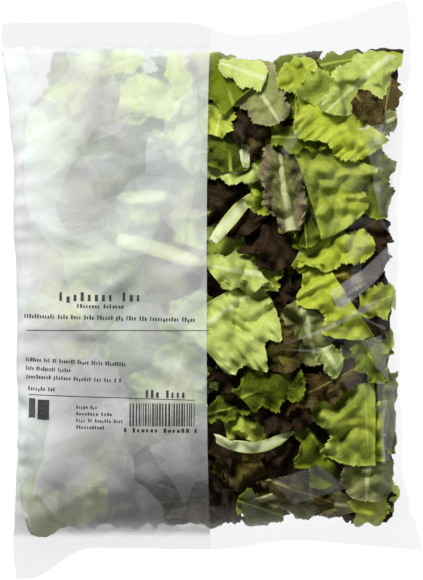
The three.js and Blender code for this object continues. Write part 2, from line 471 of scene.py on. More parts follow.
def core_shade_material():
    """The inside of the heap, where leaf lies on leaf, painted dark as the shade deep between the leaves.
    """
    n = Nodes("heap_core_painted_shade")
    places = n.own_places()
    cells = n.node("ShaderNodeTexVoronoi", {"Vector": places, "Scale": 70.0, "Randomness": 1.0})
    split = n.node("ShaderNodeSeparateColor", {"Color": cells.outputs["Color"]}).outputs
    fold = n.noise(places, 260.0, 4.0, 0.65)
    # painted shade: near-black green and red-brown, as leaves look deep in the heap's shade
    colour = n.blend(split["Red"], (0.014, 0.02, 0.002), (0.038, 0.058, 0.005))
    colour = n.blend(n.ease(split["Green"], 0.5, 0.7), colour, (0.028, 0.012, 0.006))
    bump = n.node("ShaderNodeBump", {"Height": fold, "Strength": 0.9, "Distance": 0.002})
    rough = n.ease(fold, 0.3, 0.7, 0.5, 0.75)
    surface = n.node(
        "ShaderNodeBsdfPrincipled",
        {"Base Color": colour, "Roughness": rough, "Normal": bump.outputs["Normal"]},
    )
    return n.finish(surface.outputs[0])


# --------------------------------------------------------------------------------------------------
# Film

CREASE_SEED = 5
STREWN_CREASES = 46
# Creases that cross the film as sharp low ridges: start x, y, end x, y in mm, and strength
CREASES = (
    (25, -21, 92, 12, 1.3),
    (25, -21, 62, -24, 0.9),
    (56, -8, 82, -16, 0.9),
    (56, 6, 94, 30, 1.2),
    (60, 70, 92, 84, 1.0),
    (40, 62, 96, 58, 1.0),
    (78, -50, 80, -98, 1.3),
    (86, -40, 88, -88, 0.8),
    (30, 118, 70, 96, 0.7),
    (8, 60, 40, 98, 0.6),
    (-92, 62, -60, 84, 0.8),
    (-90, -20, -58, -12, 0.7),
    (-86, -78, -40, -60, 0.7),
    (-60, 116, -38, 84, 0.8),
    (10, -110, 28, -82, 0.8),
    (48, -112, 44, -86, 0.8),
    (-30, -112, -36, -84, 0.7),
    (-20, 30, -70, 8, 0.5),
)


def strewn_creases(count):
    """Shorter creases at random over the milky half, half of them valleys."""
    rng = np.random.default_rng(CREASE_SEED)
    found = []
    for number in range(count):
        x, y = rng.uniform((-92, -118), (2, 122))
        angle, half = rng.uniform(0, math.pi), rng.uniform(9, 24)
        dx, dy = half * math.cos(angle), half * math.sin(angle)
        strength = rng.uniform(0.5, 1.3) * (1 if number % 2 else -0.8)
        found.append((x - dx, y - dy, x + dx, y + dy, strength))
    return found


def crease_relief(x, y, height):
    """Sharp tents along the creases, highest in the middle of each."""
    total = np.zeros_like(x)
    for x0, y0, x1, y1, strength in (*CREASES, *strewn_creases(STREWN_CREASES)):
        span = math.hypot(x1 - x0, y1 - y0)
        ax, ay = (x1 - x0) / span, (y1 - y0) / span
        along = (x - x0) * ax + (y - y0) * ay
        beside = np.abs((x - x0) * ay - (y - y0) * ax)
        half_width = 0.16 * span + 2.0
        ends = smoothstep(along, -0.15 * span, 0.3 * span) * smoothstep(along, 1.15 * span, 0.7 * span)
        total += strength * ends * np.clip(1.0 - beside / half_width, 0.0, 1.0)
    return height * total


def film_relief(x, y, front, settings):
    """How far wrinkles lift the film off its plain shape."""
    to_end = np.minimum(LENGTH / 2 - 14 - y, LENGTH / 2 - 20 + y)
    near_seal = np.exp(-np.clip(to_end, 0.0, None) / 16.0) * smoothstep(to_end, 0.0, 6.0)
    fan = np.sin(2 * math.pi * x / 8.3 + 3.2 * noise(x / 14, y / 60, 4.0) + np.sign(y) * 1.3)
    near_side = smoothstep(np.abs(x), 0.36 * WIDTH, 0.45 * WIDTH)
    side = np.sin(2 * math.pi * y / 10.5 + 3.0 * noise(y / 18, x / 50, 9.0))
    slack = noise(x / 16 + 0.3 * y / 16, y / 23, 2.0) + 0.5 * noise(x / 7.5, y / 9.5, 6.0)
    relief = settings.pucker_depth * (fan * near_seal + 0.6 * side * near_side)
    relief += 0.32 * slack * smoothstep(to_end, 0.0, 12.0)
    if front:
        relief += crease_relief(x, y, settings.crease_height) * smoothstep(to_end, -2.0, 6.0)
    return relief


BACK_WRINKLES = 0.4  # height of the wrinkles on the back, over that in front
EDGE_SWING = 2.6  # how far the edge of the print swings to the right at the ends, in mm
EDGE_WIDTH = 14.0  # how far from it the film swings with it, in mm
LEAST_HEIGHT = 0.02  # of the film above the table, in mm


def film_mesh(settings):
    """The bag's skin as one fine closed surface: the CAD solid's own mesh, smoothed and then wrinkled."""
    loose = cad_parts["bag"].data.copy()
    loose.materials.clear()
    skin = bmesh.new()
    skin.from_mesh(loose)
    bmesh.ops.remove_doubles(skin, verts=skin.verts, dist=1e-6)
    bmesh.ops.join_triangles(
        skin, faces=skin.faces, angle_face_threshold=math.pi, angle_shape_threshold=math.pi
    )
    skin.to_mesh(loose)
    skin.free()
    rough = new_object("film_rough", loose)
    smooth = rough.modifiers.new("smooth", "SUBSURF")
    smooth.levels = smooth.render_levels = 2
    mesh = evaluated_mesh(rough, "film")
    bpy.data.objects.remove(rough)
    skin = bmesh.new()
    skin.from_mesh(mesh)
    bmesh.ops.bisect_plane(
        skin,
        geom=[*skin.verts, *skin.edges, *skin.faces],
        plane_co=(PRINT_EDGE * MM, 0, 0),
        plane_no=(1, 0, 0),
        dist=1e-5,
    )
    for face in skin.faces:
        face.smooth = True
        face.material_index = 1 if face.calc_center_median().x < PRINT_EDGE * MM else 0
    skin.normal_update()
    normals = np.array([vertex.normal[:] for vertex in skin.verts])
    skin.to_mesh(mesh)
    skin.free()
    places = places_of(mesh)
    x, y, z = places.T
    thick = smoothstep(np.abs(normals[:, 2]), 0.0, 0.35)
    in_front = normals[:, 2] > 0
    wrinkles = film_relief(x, y, True, settings)
    lift = np.where(in_front, wrinkles, BACK_WRINKLES * film_relief(x, y, False, settings))
    resting = smoothstep(z, 0.0, 1.5)  # the table keeps the back flat
    lift = lift * np.where(in_front, 1.0, resting)
    places += normals * (lift * thick)[:, None]
    near_edge = np.exp(-((x - PRINT_EDGE) / EDGE_WIDTH) ** 2)
    places[:, 0] += EDGE_SWING * np.abs(2 * y / LENGTH) ** 3 * near_edge
    places[:, 2] = np.maximum(places[:, 2], LEAST_HEIGHT)
    set_places(mesh, places)
    under = mesh.attributes.new("under", "FLOAT", "POINT")  # 1 on the sheet that lies on the table: painted shade
    under.data.foreach_set("value", smoothstep(-normals[:, 2], 0.1, 0.6).astype(np.float32))
    return mesh


FOLD_RAISED = 0.3  # above the film, in mm
FOLD_STEP = 1.2  # longest edge of a fold's mesh, in mm
FOLD_FADE = 0.8  # how far in from its edges a fold reaches its full painted haze, in mm
# Where the film lies folded on itself a faint haze is painted in as reflection: how strong, and each
# such patch's corners, in mm
FOLDS = (
    (1.0, (56.5, -0.3), (72, 9.5), (86, 22.5), (87.5, 13.5), (77, 2), (60.5, -10.5)),
    (0.9, (28.5, -28), (53, -18.4), (79.5, -4), (82, -7.6), (53.5, -20.4)),
    (0.7, (62.5, -8.6), (84, -17.8), (84, -19.9)),
    (0.7, (29, -28), (54.5, -28.4), (54, -30.6)),
    (0.9, (73.5, -24), (82, -21.5), (84.8, -35.5), (86.4, -46), (79.5, -37.5)),
    (0.7, (79.5, -42.8), (88.5, -47), (88.8, -67.5), (86.5, -82), (82.5, -85), (80.5, -67)),
    (0.9, (82.4, -45.2), (86, -59.4), (84.4, -75.6), (82.5, -85), (81.5, -75.6), (82, -55.5)),
    (0.45, (72, 79), (90, 81), (88.8, 60), (86.5, 36), (80.5, 36), (77, 60)),
    (0.4, (33, 67), (37.4, 75.4), (44.2, 77.5), (41.8, 72), (36.3, 63.4)),
    (0.5, (64, 26.2), (77, 27), (73.6, 17.6), (65.6, 13.4)),
    (0.5, (28, -92), (52, -84), (66, -96), (40, -104)),
)


def edge_distance(x, y, corners):
    """How far a place lies from the nearest edge of a patch, in mm."""
    nearest = math.inf
    for (x0, y0), (x1, y1) in zip(corners, (*corners[1:], corners[0])):
        dx, dy = x1 - x0, y1 - y0
        share = min(max(((x - x0) * dx + (y - y0) * dy) / (dx * dx + dy * dy), 0.0), 1.0)
        nearest = min(nearest, math.hypot(x - x0 - share * dx, y - y0 - share * dy))
    return nearest


def fold_object(film):
    """The patches with painted haze, draped a hair's breadth over the film."""
    tree = BVHTree.FromObject(film, bpy.context.evaluated_depsgraph_get())
    work = bmesh.new()
    strength = work.verts.layers.float.new("haze")
    for full, *corners in FOLDS:
        patch = bmesh.new()
        patch.faces.new([patch.verts.new((x * MM, y * MM, 0.0)) for x, y in corners])
        bmesh.ops.triangulate(patch, faces=patch.faces)
        for _ in range(7):
            long_edges = [edge for edge in patch.edges if edge.calc_length() > FOLD_STEP * MM]
            if not long_edges:
                break
            bmesh.ops.subdivide_edges(patch, edges=long_edges, cuts=1)
            bmesh.ops.triangulate(patch, faces=patch.faces)
        made = {}
        for vertex in patch.verts:
            x, y = vertex.co.x, vertex.co.y
            hit, normal = tree.ray_cast(Vector((x, y, 1.0)), Vector((0, 0, -1)))[:2]
            made[vertex] = work.verts.new(hit + normal * FOLD_RAISED * MM)
            from_edge = edge_distance(x / MM, y / MM, corners)
            made[vertex][strength] = full * min(from_edge / FOLD_FADE + 0.25, 1.0)
        for face in patch.faces:
            work.faces.new([made[vertex] for vertex in face.verts]).smooth = True
        patch.free()
    mesh = bpy.data.meshes.new("film_folds")
    work.to_mesh(mesh)
    work.free()
    return new_object("film_folds", mesh)


# --------------------------------------------------------------------------------------------------
# Print

PRINT_SEED = 3
# Rows of blocks in place of words: left end, foot, width, height, slope, letters in each word; in mm
LINES = (
    (-73.2, -5.3, 40.8, 4.3, -0.005, (8, 3)),
    (-64.6, -8.7, 22.8, 2.0, -0.01, (8, 7)),
    (-90.6, -13.6, 83.0, 2.1, -0.02, (12, 4, 4, 4, 6, 3, 4, 3, 11, 5)),
    (-89.8, -34.4, 49.0, 1.9, -0.045, (7, 3, 2, 7, 5, 5, 9)),
    (-89.8, -38.6, 22.4, 1.9, -0.045, (4, 9, 6)),
    (-89.6, -42.6, 46.6, 1.9, -0.04, (10, 7, 7, 3, 3, 1, 1)),
    (-88.6, -48.4, 13.6, 1.9, -0.03, (7, 3)),
    (-31.6, -51.6, 20.0, 3.6, -0.01, (3, 4)),
    (-65.0, -57.0, 10.4, 1.6, -0.02, (5, 3)),
    (-65.0, -60.2, 17.6, 1.6, -0.02, (8, 4)),
    (-65.0, -63.4, 22.8, 1.6, -0.02, (4, 2, 7, 4)),
    (-65.0, -66.6, 14.0, 1.6, -0.02, (11,)),
    (-42.0, -68.2, 36.0, 2.0, -0.01, (1, 6, 6, 1)),
)
RULE_HEIGHT = 0.35
# Thin rules: left end, foot, width and slope
RULES = ((-89.5, -19.6, 88.6, 0.0), (-88.4, -50.6, 80.6, -0.03))
# The block of upright bars: left end, foot, width, height and slope
BARS = (-39.4, -65.4, 31.2, 11.0, -0.01)
SQUARE_SLOPE = -0.03
# Plain dark squares, the first cut off by the bag's side: left end, foot, width and height
SQUARES = ((-88.4, -61.6, 3.2, 9.4), (-84.0, -62.4, 5.6, 9.6))


class Stamp:
    """Lays flat marks on the film, seen from above."""

    CELL = 1.3  # longest step between places of a mark, in mm
    RAISED = 0.12  # above the film, in mm
    TALL = 3.0  # rows taller than this, in mm, have narrower blocks
    GAP = 0.9  # between groups, in letters

    def __init__(self, film):
        self.tree = BVHTree.FromObject(film, bpy.context.evaluated_depsgraph_get())
        self.places, self.faces = [], []

    def block(self, x, y, width, height, slope, start=0.0):
        """One upright rectangle at x, y; start is how far along a sloping row it stands."""
        columns = max(1, math.ceil(width / self.CELL)) + 1
        rows = max(1, math.ceil(height / self.CELL)) + 1
        base = len(self.places)
        for i in range(columns):
            for j in range(rows):
                right = start + width * i / (columns - 1)
                up = height * j / (rows - 1)
                spot = Vector(((x + right - slope * up) * MM, (y + slope * right + up) * MM, 1.0))
                hit, normal = self.tree.ray_cast(spot, Vector((0, 0, -1)))[:2]
                self.places.append(hit + normal * self.RAISED * MM)
        for i in range(columns - 1):
            for j in range(rows - 1):
                corner = base + i * rows + j
                self.faces.append((corner, corner + rows, corner + rows + 1, corner + 1))

    def words(self, x, y, width, height, slope, words, rng):
        """A row of blocks in groups, as words look from afar."""
        count = sum(words) + self.GAP * (len(words) - 1)
        boldness = 0.66 if height > self.TALL else 0.92
        pitch = width / count
        at = 0.0
        for letters in words:
            for number in range(letters):
                wide = pitch * boldness * rng.uniform(0.5, 0.74)
                tall = height * (1.0 if number == 0 or rng.random() < 0.25 else 0.72)
                drop = height * 0.2 if rng.random() < 0.1 else 0.0
                self.block(x, y - drop, wide, tall, slope, at)
                at += pitch
            at += self.GAP * pitch

    def object(self, name):
        """The marks as one object."""
        mesh = bpy.data.meshes.new(name)
        mesh.from_pydata(self.places, [], self.faces)
        return new_object(name, mesh)


# --------------------------------------------------------------------------------------------------
# The space inside the film


# The leaves reach this far at the most
HEAP_LEFT, HEAP_RIGHT = -0.462 * WIDTH, 0.466 * WIDTH
HEAP_FOOT, HEAP_HEAD = -0.43 * LENGTH, 0.42 * LENGTH
BARE_HEAD = 0.06 * WIDTH  # how far the leaves stay off the left side near the head
BARE_FOOT = 0.035 * WIDTH  # and off the right side near the foot, with 0.6 of it at the left side


class Space:
    """Heights of the film over a grid of places: the front above, the back below."""

    STEP = 1.2  # of the grid, in mm
    THIN = 2.4  # no leaf goes where the bag is thinner than this

    def __init__(self, film):
        graph = bpy.context.evaluated_depsgraph_get()
        tree = BVHTree.FromObject(film, graph)
        self.low = (-WIDTH / 2, -LENGTH / 2)
        self.counts = (int(WIDTH / self.STEP) + 1, int(LENGTH / self.STEP) + 1)
        self.front = np.zeros(self.counts)
        self.back = np.zeros(self.counts)
        far = 2 * HEIGHT * MM
        down, up = Vector((0, 0, -1)), Vector((0, 0, 1))
        for i in range(self.counts[0]):
            x = (self.low[0] + i * self.STEP) * MM
            for j in range(self.counts[1]):
                y = (self.low[1] + j * self.STEP) * MM
                above = tree.ray_cast(Vector((x, y, far)), down)[0]
                below = tree.ray_cast(Vector((x, y, -far)), up)[0]
                if above and below:
                    self.front[i, j] = above.z / MM
                    self.back[i, j] = below.z / MM
        self.thick = self.front - self.back
        self.middle = (self.front + self.back) / 2
        inside = self.thick > self.THIN
        self.bottom, self.top = self.borders(inside, self.low[1], HEAP_FOOT, HEAP_HEAD)
        self.left, self.right = self.borders(inside.T, self.low[0], HEAP_LEFT, HEAP_RIGHT)
        rows = self.low[1] + self.STEP * np.arange(self.counts[1])
        self.left = self.left + BARE_HEAD * smoothstep(rows, 0.27 * LENGTH, 0.38 * LENGTH)
        self.left = self.left + 0.6 * BARE_FOOT * smoothstep(-rows, 0.35 * LENGTH, 0.42 * LENGTH)
        self.right = self.right - BARE_FOOT * smoothstep(-rows, 0.33 * LENGTH, 0.4 * LENGTH)

    def borders(self, inside, low, least, most):
        """The first and last place inside on each line, or on the nearest line that has many inside."""
        lines = [np.flatnonzero(line) for line in inside]
        many = 0.6 * inside.shape[1]
        good = np.array([number for number, line in enumerate(lines) if len(line) > many])
        nearest = [good[np.argmin(abs(good - number))] for number in range(len(lines))]
        first = np.array([lines[number][0] for number in nearest])
        last = np.array([lines[number][-1] for number in nearest])
        return np.maximum(low + self.STEP * first, least), np.minimum(low + self.STEP * last, most)

    def at(self, field, x, y):
        """A field's value at places, blended between grid points."""
        u = np.clip((x - self.low[0]) / self.STEP, 0, self.counts[0] - 1.001)
        v = np.clip((y - self.low[1]) / self.STEP, 0, self.counts[1] - 1.001)
        i, j = u.astype(int), v.astype(int)
        u, v = u - i, v - j
        near = field[i, j] * (1 - v) + field[i, j + 1] * v
        far = field[i + 1, j] * (1 - v) + field[i + 1, j + 1] * v
        return near * (1 - u) + far * u

    def edge(self, values, place, axis):
        """One of the four borders at places along it."""
        index = (place - self.low[axis]) / self.STEP
        return np.interp(index, np.arange(len(values)), values)

    def moved_in(self, x, y, inset, spare=1.0):
        """Moves a whole leaf until little more than its last few millimetres cross the borders."""
        x = x - max((x - self.edge(self.right, y, 1)).max() + inset - spare, 0.0)
        x = x + max((self.edge(self.left, y, 1) - x).max() + inset - spare, 0.0)
        y = y - max((y - self.edge(self.top, x, 0)).max() + inset - spare, 0.0)
        y = y + max((self.edge(self.bottom, x, 0) - y).max() + inset - spare, 0.0)
        return x, y

    def keep_in(self, x, y, inset, wave):
        """Presses places softly inside the borders, by an inset that wanders from place to place."""
        inset = max(inset, 0.0) + 1.2

        def ragged(place, seed):
            """How far a border lies in: partly the same for all leaves and partly each leaf's own."""
            nil = 0 * place
            shared = 2.0 * noise(place / 9.0, nil, seed) + 0.9 * noise(place / 3.1, nil, seed + 1)
            own = 1.3 * noise(place / 4.0, nil + wave, seed + 2)
            return np.maximum(inset + shared + own, 0.3)

        left = self.edge(self.left, y, 1) + ragged(y, 21.0)
        right = self.edge(self.right, y, 1) - ragged(y, 31.0)
        x = limit(x, left, right)
        bottom = self.edge(self.bottom, x, 0) + ragged(x, 41.0)
        top = self.edge(self.top, x, 0) - ragged(x, 51.0)
        return x, limit(y, bottom, top)


def limit(value, low, high, soft=2.6):
    """Keeps a value between two limits, slowing it down over the last few millimetres."""
    over = np.clip(value - (high - soft), 0.0, None)
    value = np.where(over > 0, high - soft + soft * np.tanh(over / soft), value)
    under = np.clip((low + soft) - value, 0.0, None)
    return np.where(under > 0, low + soft - soft * np.tanh(under / soft), value)


# --------------------------------------------------------------------------------------------------
# Leaves


class Kind:
    """What leaves of one sort have in common. Heights are in mm, lobes a share of the half width."""

    def __init__(self, **values):
        self.lobes, self.lobe_count = 0.14, 2.5
        self.teeth, self.tooth_gap = 1.0, 1.7
        self.ruffle, self.frill, self.blister, self.crinkle, self.pleat = 4.6, 1.7, 0.8, 0.7, 0.9
        self.rib, self.rib_height, self.veins = 1.5, 0.9, 8.0
        self.blush, self.pale = (0.0, 0.1), (0.0, 0.2)
        self.__dict__.update(values)


KINDS = {
    "bright": Kind(rib=0.8),
    "pale": Kind(teeth=0.9, ruffle=3.6, blister=0.9, pale=(0.1, 0.4), rib=2.1),
    "green": Kind(teeth=1.2, tooth_gap=2.0, ruffle=4.4, frill=1.5, lobes=0.2, rib=0.9),
    "olive": Kind(lobes=0.12, teeth=1.0, ruffle=3.4, blister=1.2, rib=2.4, blush=(0.1, 0.45)),
    "bronze": Kind(
        lobes=0.18, lobe_count=3.2, teeth=1.1, ruffle=4.8, frill=2.0, blister=1.9, crinkle=0.7, rib=0.8,
        blush=(0.3, 0.7),
    ),
    "red": Kind(
        lobes=0.24, lobe_count=3.6, teeth=1.3, ruffle=5.4, frill=2.8, blister=2.8, crinkle=0.9, rib=0.7,
        blush=(0.5, 1.0),
    ),
    "stalk": Kind(
        lobes=0.0, teeth=0.0, ruffle=0.0, frill=0.0, blister=0.0, crinkle=0.12, pleat=0.0, rib=3.6,
        rib_height=2.2, veins=0.5,
    ),
}


# What the knife left of a leaf from side to side, where its own margins are at -1 and 1
WHOLE = (-1.0, 1.0)
LEFT_HALF = (-1.0, 0.18)
RIGHT_HALF = (-0.18, 1.0)
LEFT_BLADE = (-1.0, -0.12)
RIGHT_BLADE = (0.12, 1.0)
CUTS = (WHOLE, LEFT_HALF, RIGHT_HALF, LEFT_BLADE, RIGHT_BLADE)
TRIMMED = (0.1, 1.0)  # and from base to tip: only the base is cut off


class Leaf:
    """One cut leaf as a grid of places with its thickness and pattern, in mm."""

    def __init__(self, kind, length, width, rng, spacing, sides=WHOLE, ends=TRIMMED, flip=False, bend=0.0):
        spec = KINDS[kind]
        self.kind, self.flip = kind, flip
        columns = max(7, int(width * (sides[1] - sides[0]) / 2 / (1.25 * spacing)))
        rows = max(8, int(length / (0.55 * spacing)))
        crowd = np.linspace(-1, 1, columns)
        crowd = 0.5 + 0.5 * (0.6 * crowd + 0.4 * np.sin(crowd * math.pi / 2))
        u = crowd[:, None] * np.ones(rows)[None, :]
        v = np.ones(columns)[:, None] * np.linspace(0, 1, rows)[None, :]
        skew = rng.uniform(-0.45, 0.45, 2)
        slant = rng.uniform(-0.16, 0.16, 2)
        low = sides[0] + (skew[0] * (v - 0.5) if sides[0] > -1 else 0)
        high = sides[1] + (skew[1] * (v - 0.5) if sides[1] < 1 else 0)
        s = low + (high - low) * u
        start = ends[0] + (slant[0] * s if ends[0] > 0 else 0)
        stop = ends[1] + (slant[1] * s if ends[1] < 1 else 0)
        t = start + (stop - start) * v
        full = length / (ends[1] - ends[0])  # the uncut leaf's length
        place = np.clip(t, 0, 1)
        blunt = rng.uniform(0.2, 0.5)
        narrowing = 1 - blunt * smoothstep(place, 0.55, 1.1)
        outline = (0.4 + 0.6 * smoothstep(place, -0.1, 0.5)) * narrowing
        if kind == "stalk":
            outline = 0.55 + 0.45 * np.sin(math.pi * place) ** 0.6
        phase = rng.uniform(0, 2 * math.pi, 8)
        reach = np.abs(s)
        side = np.sign(s)
        lobe_wave = np.sin(2 * math.pi * spec.lobe_count * t + phase[0] + side)
        lobes = 1 + spec.lobes * reach**2 * (lobe_wave + 0.9 * noise(t * 6, s, phase[6]))
        across = s * outline * lobes * width / 2
        rounding = rng.uniform(0.06, 0.22) * full * reach**3 * place**2
        along = (t - (ends[0] + ends[1]) / 2) * full - rounding
        teeth = self.jagged(along / spec.tooth_gap, phase[1] + side)
        scallop_wave = 2 * along / spec.tooth_gap / 1.7 + 2 * noise(along / 9, s, phase[3])
        scallops = np.abs(np.sin(scallop_wave)) - 0.5
        across = across + side * reach**7 * spec.teeth * (teeth + 1.1 * scallops)
        along = along + place**14 * spec.teeth * self.jagged(across / spec.tooth_gap, phase[4])
        bend = bend + (rng.uniform(-0.12, 0.12) if kind != "stalk" else 0.0)
        across = across + bend * (along / full) ** 2 * full
        across = across - (across.min() + across.max()) / 2
        self.across, self.along = across, along

        veins = t * spec.veins - 3.2 * reach**0.9 + 0.5 * noise(across / 9, along / 9, phase[5])
        ribs = spec.rib * np.clip(1.25 - 0.95 * t, 0.15, 1.25)
        from_rib = np.abs(s * outline * width / 2)
        puffs = np.abs(noise(across / 5.2 + 0.6 * noise(along / 8, s, phase[7]), along / 6.0, phase[2]))
        wave = 2 * math.pi * along / rng.uniform(10, 17) + 2.2 * noise(along / 15, s, phase[1])
        rise = spec.ruffle * reach**2.0 * np.sin(wave + phase[6] + 1.1 * side)
        frills = 2 * math.pi * along / rng.uniform(4.4, 6.0) + 1.8 * noise(along / 7, s, phase[0])
        rise += spec.frill * reach**5 * np.sin(frills + phase[7] * side)
        rise += spec.ruffle * 0.9 * place**6 * np.sin(2 * math.pi * across / 11 + phase[2])
        rise += spec.blister * (1.9 * puffs - 0.6) * smoothstep(from_rib, 0.3, 3.0)
        rise += spec.pleat * (np.abs(np.sin(math.pi * veins)) - 0.6) * reach**0.5
        crinkles = noise(across / 3.0, along / 3.0, phase[3]) + noise(across / 7, along / 7, phase[4])
        rise += spec.crinkle * crinkles
        # painted light and shade: the leaf's own relief makes its ridges lighter and its hollows darker
        painted_ridge_shading = np.clip((rise - rise.mean()) / 3.0, -1.0, 1.0) * (-1 if flip else 1)
        if kind != "stalk":
            half = max(width / 2, 6.0)
            rise += 5.0 * noise(across / 17, along / 17, phase[5])
            rise += rng.uniform(-3.0, 8.0) * (across / half) ** 2
            rise += rng.uniform(-5.0, 5.0) * (2 * along / length) ** 2
            rise += rng.uniform(-5.0, 5.0) * across * along / (length * half / 2)
            rise += rng.uniform(-0.25, 0.25) * across + rng.uniform(-0.15, 0.15) * along
        self.rise = rise * (-1 if flip else 1)
        hump = np.exp(-((from_rib / ribs) ** 2)) * np.clip(1.0 - 0.75 * t, 0.1, 1)
        self.rib_under = spec.rib_height * hump
        margin = np.full_like(s, 30.0)
        if sides[1] >= 1:
            margin = np.minimum(margin, (1 - s) * outline * width / 2)
        if sides[0] <= -1:
            margin = np.minimum(margin, (1 + s) * outline * width / 2)
        if ends[1] >= 1:
            margin = np.minimum(margin, (1 - t) * full)
        self.pattern = np.stack([from_rib / ribs, veins, margin], -1)
        # tone and paleness both carry painted light on the ridges; the tone also carries painted shade in
        # the hollows
        tone_and_painted_shade = rng.uniform(0.1, 0.9) + 0.22 * painted_ridge_shading + 0.25 * noise(across / 9, along / 11, phase[7])
        blush = np.full_like(s, rng.uniform(*spec.blush))
        pale = rng.uniform(*spec.pale) + (0.6 * (1 - t) if kind == "stalk" else 0.0) * np.ones_like(s)
        pale = pale + 0.3 * np.clip(painted_ridge_shading, 0, 1) * (kind != "stalk")
        self.look = np.stack([tone_and_painted_shade, blush, np.clip(pale, 0, 1)], -1)

    @staticmethod
    def jagged(value, seed):
        """Lopsided teeth of uneven size along a margin."""

        def saw(count):
            share = count - np.floor(count)
            return np.where(share < 0.7, share / 0.7, (1 - share) / 0.3) - 0.5

        place = value + seed + 0.5 * noise(value / 2.5, 0 * value, seed)
        size = 0.9 + 0.8 * noise(value / 1.7, 0 * value, seed + 5)
        return size * saw(place) + 0.35 * saw(2.3 * place)

    def laid(self, x, y, turn):
        """Places in the plane once the leaf lies at x, y with its tip towards turn, in degrees."""
        angle = math.radians(turn - 90)
        c, s = math.cos(angle), math.sin(angle)
        return x + self.across * c - self.along * s, y + self.across * s + self.along * c


def neighbours(field):
    """The four grids that lie one step off each way."""
    padded = np.pad(field, 1, mode="edge")
    return padded[:-2, 1:-1], padded[2:, 1:-1], padded[1:-1, :-2], padded[1:-1, 2:]


def blurred(field, passes):
    """A grid's values, each pass averaged with its neighbours'."""
    for _ in range(passes):
        field = (2 * field + sum(neighbours(field))) / 6
    return field


def spread(field, passes):
    """A grid's values, each pass raised to the highest of its neighbours'."""
    for _ in range(passes):
        field = np.maximum.reduce([field, *neighbours(field)])
    return field


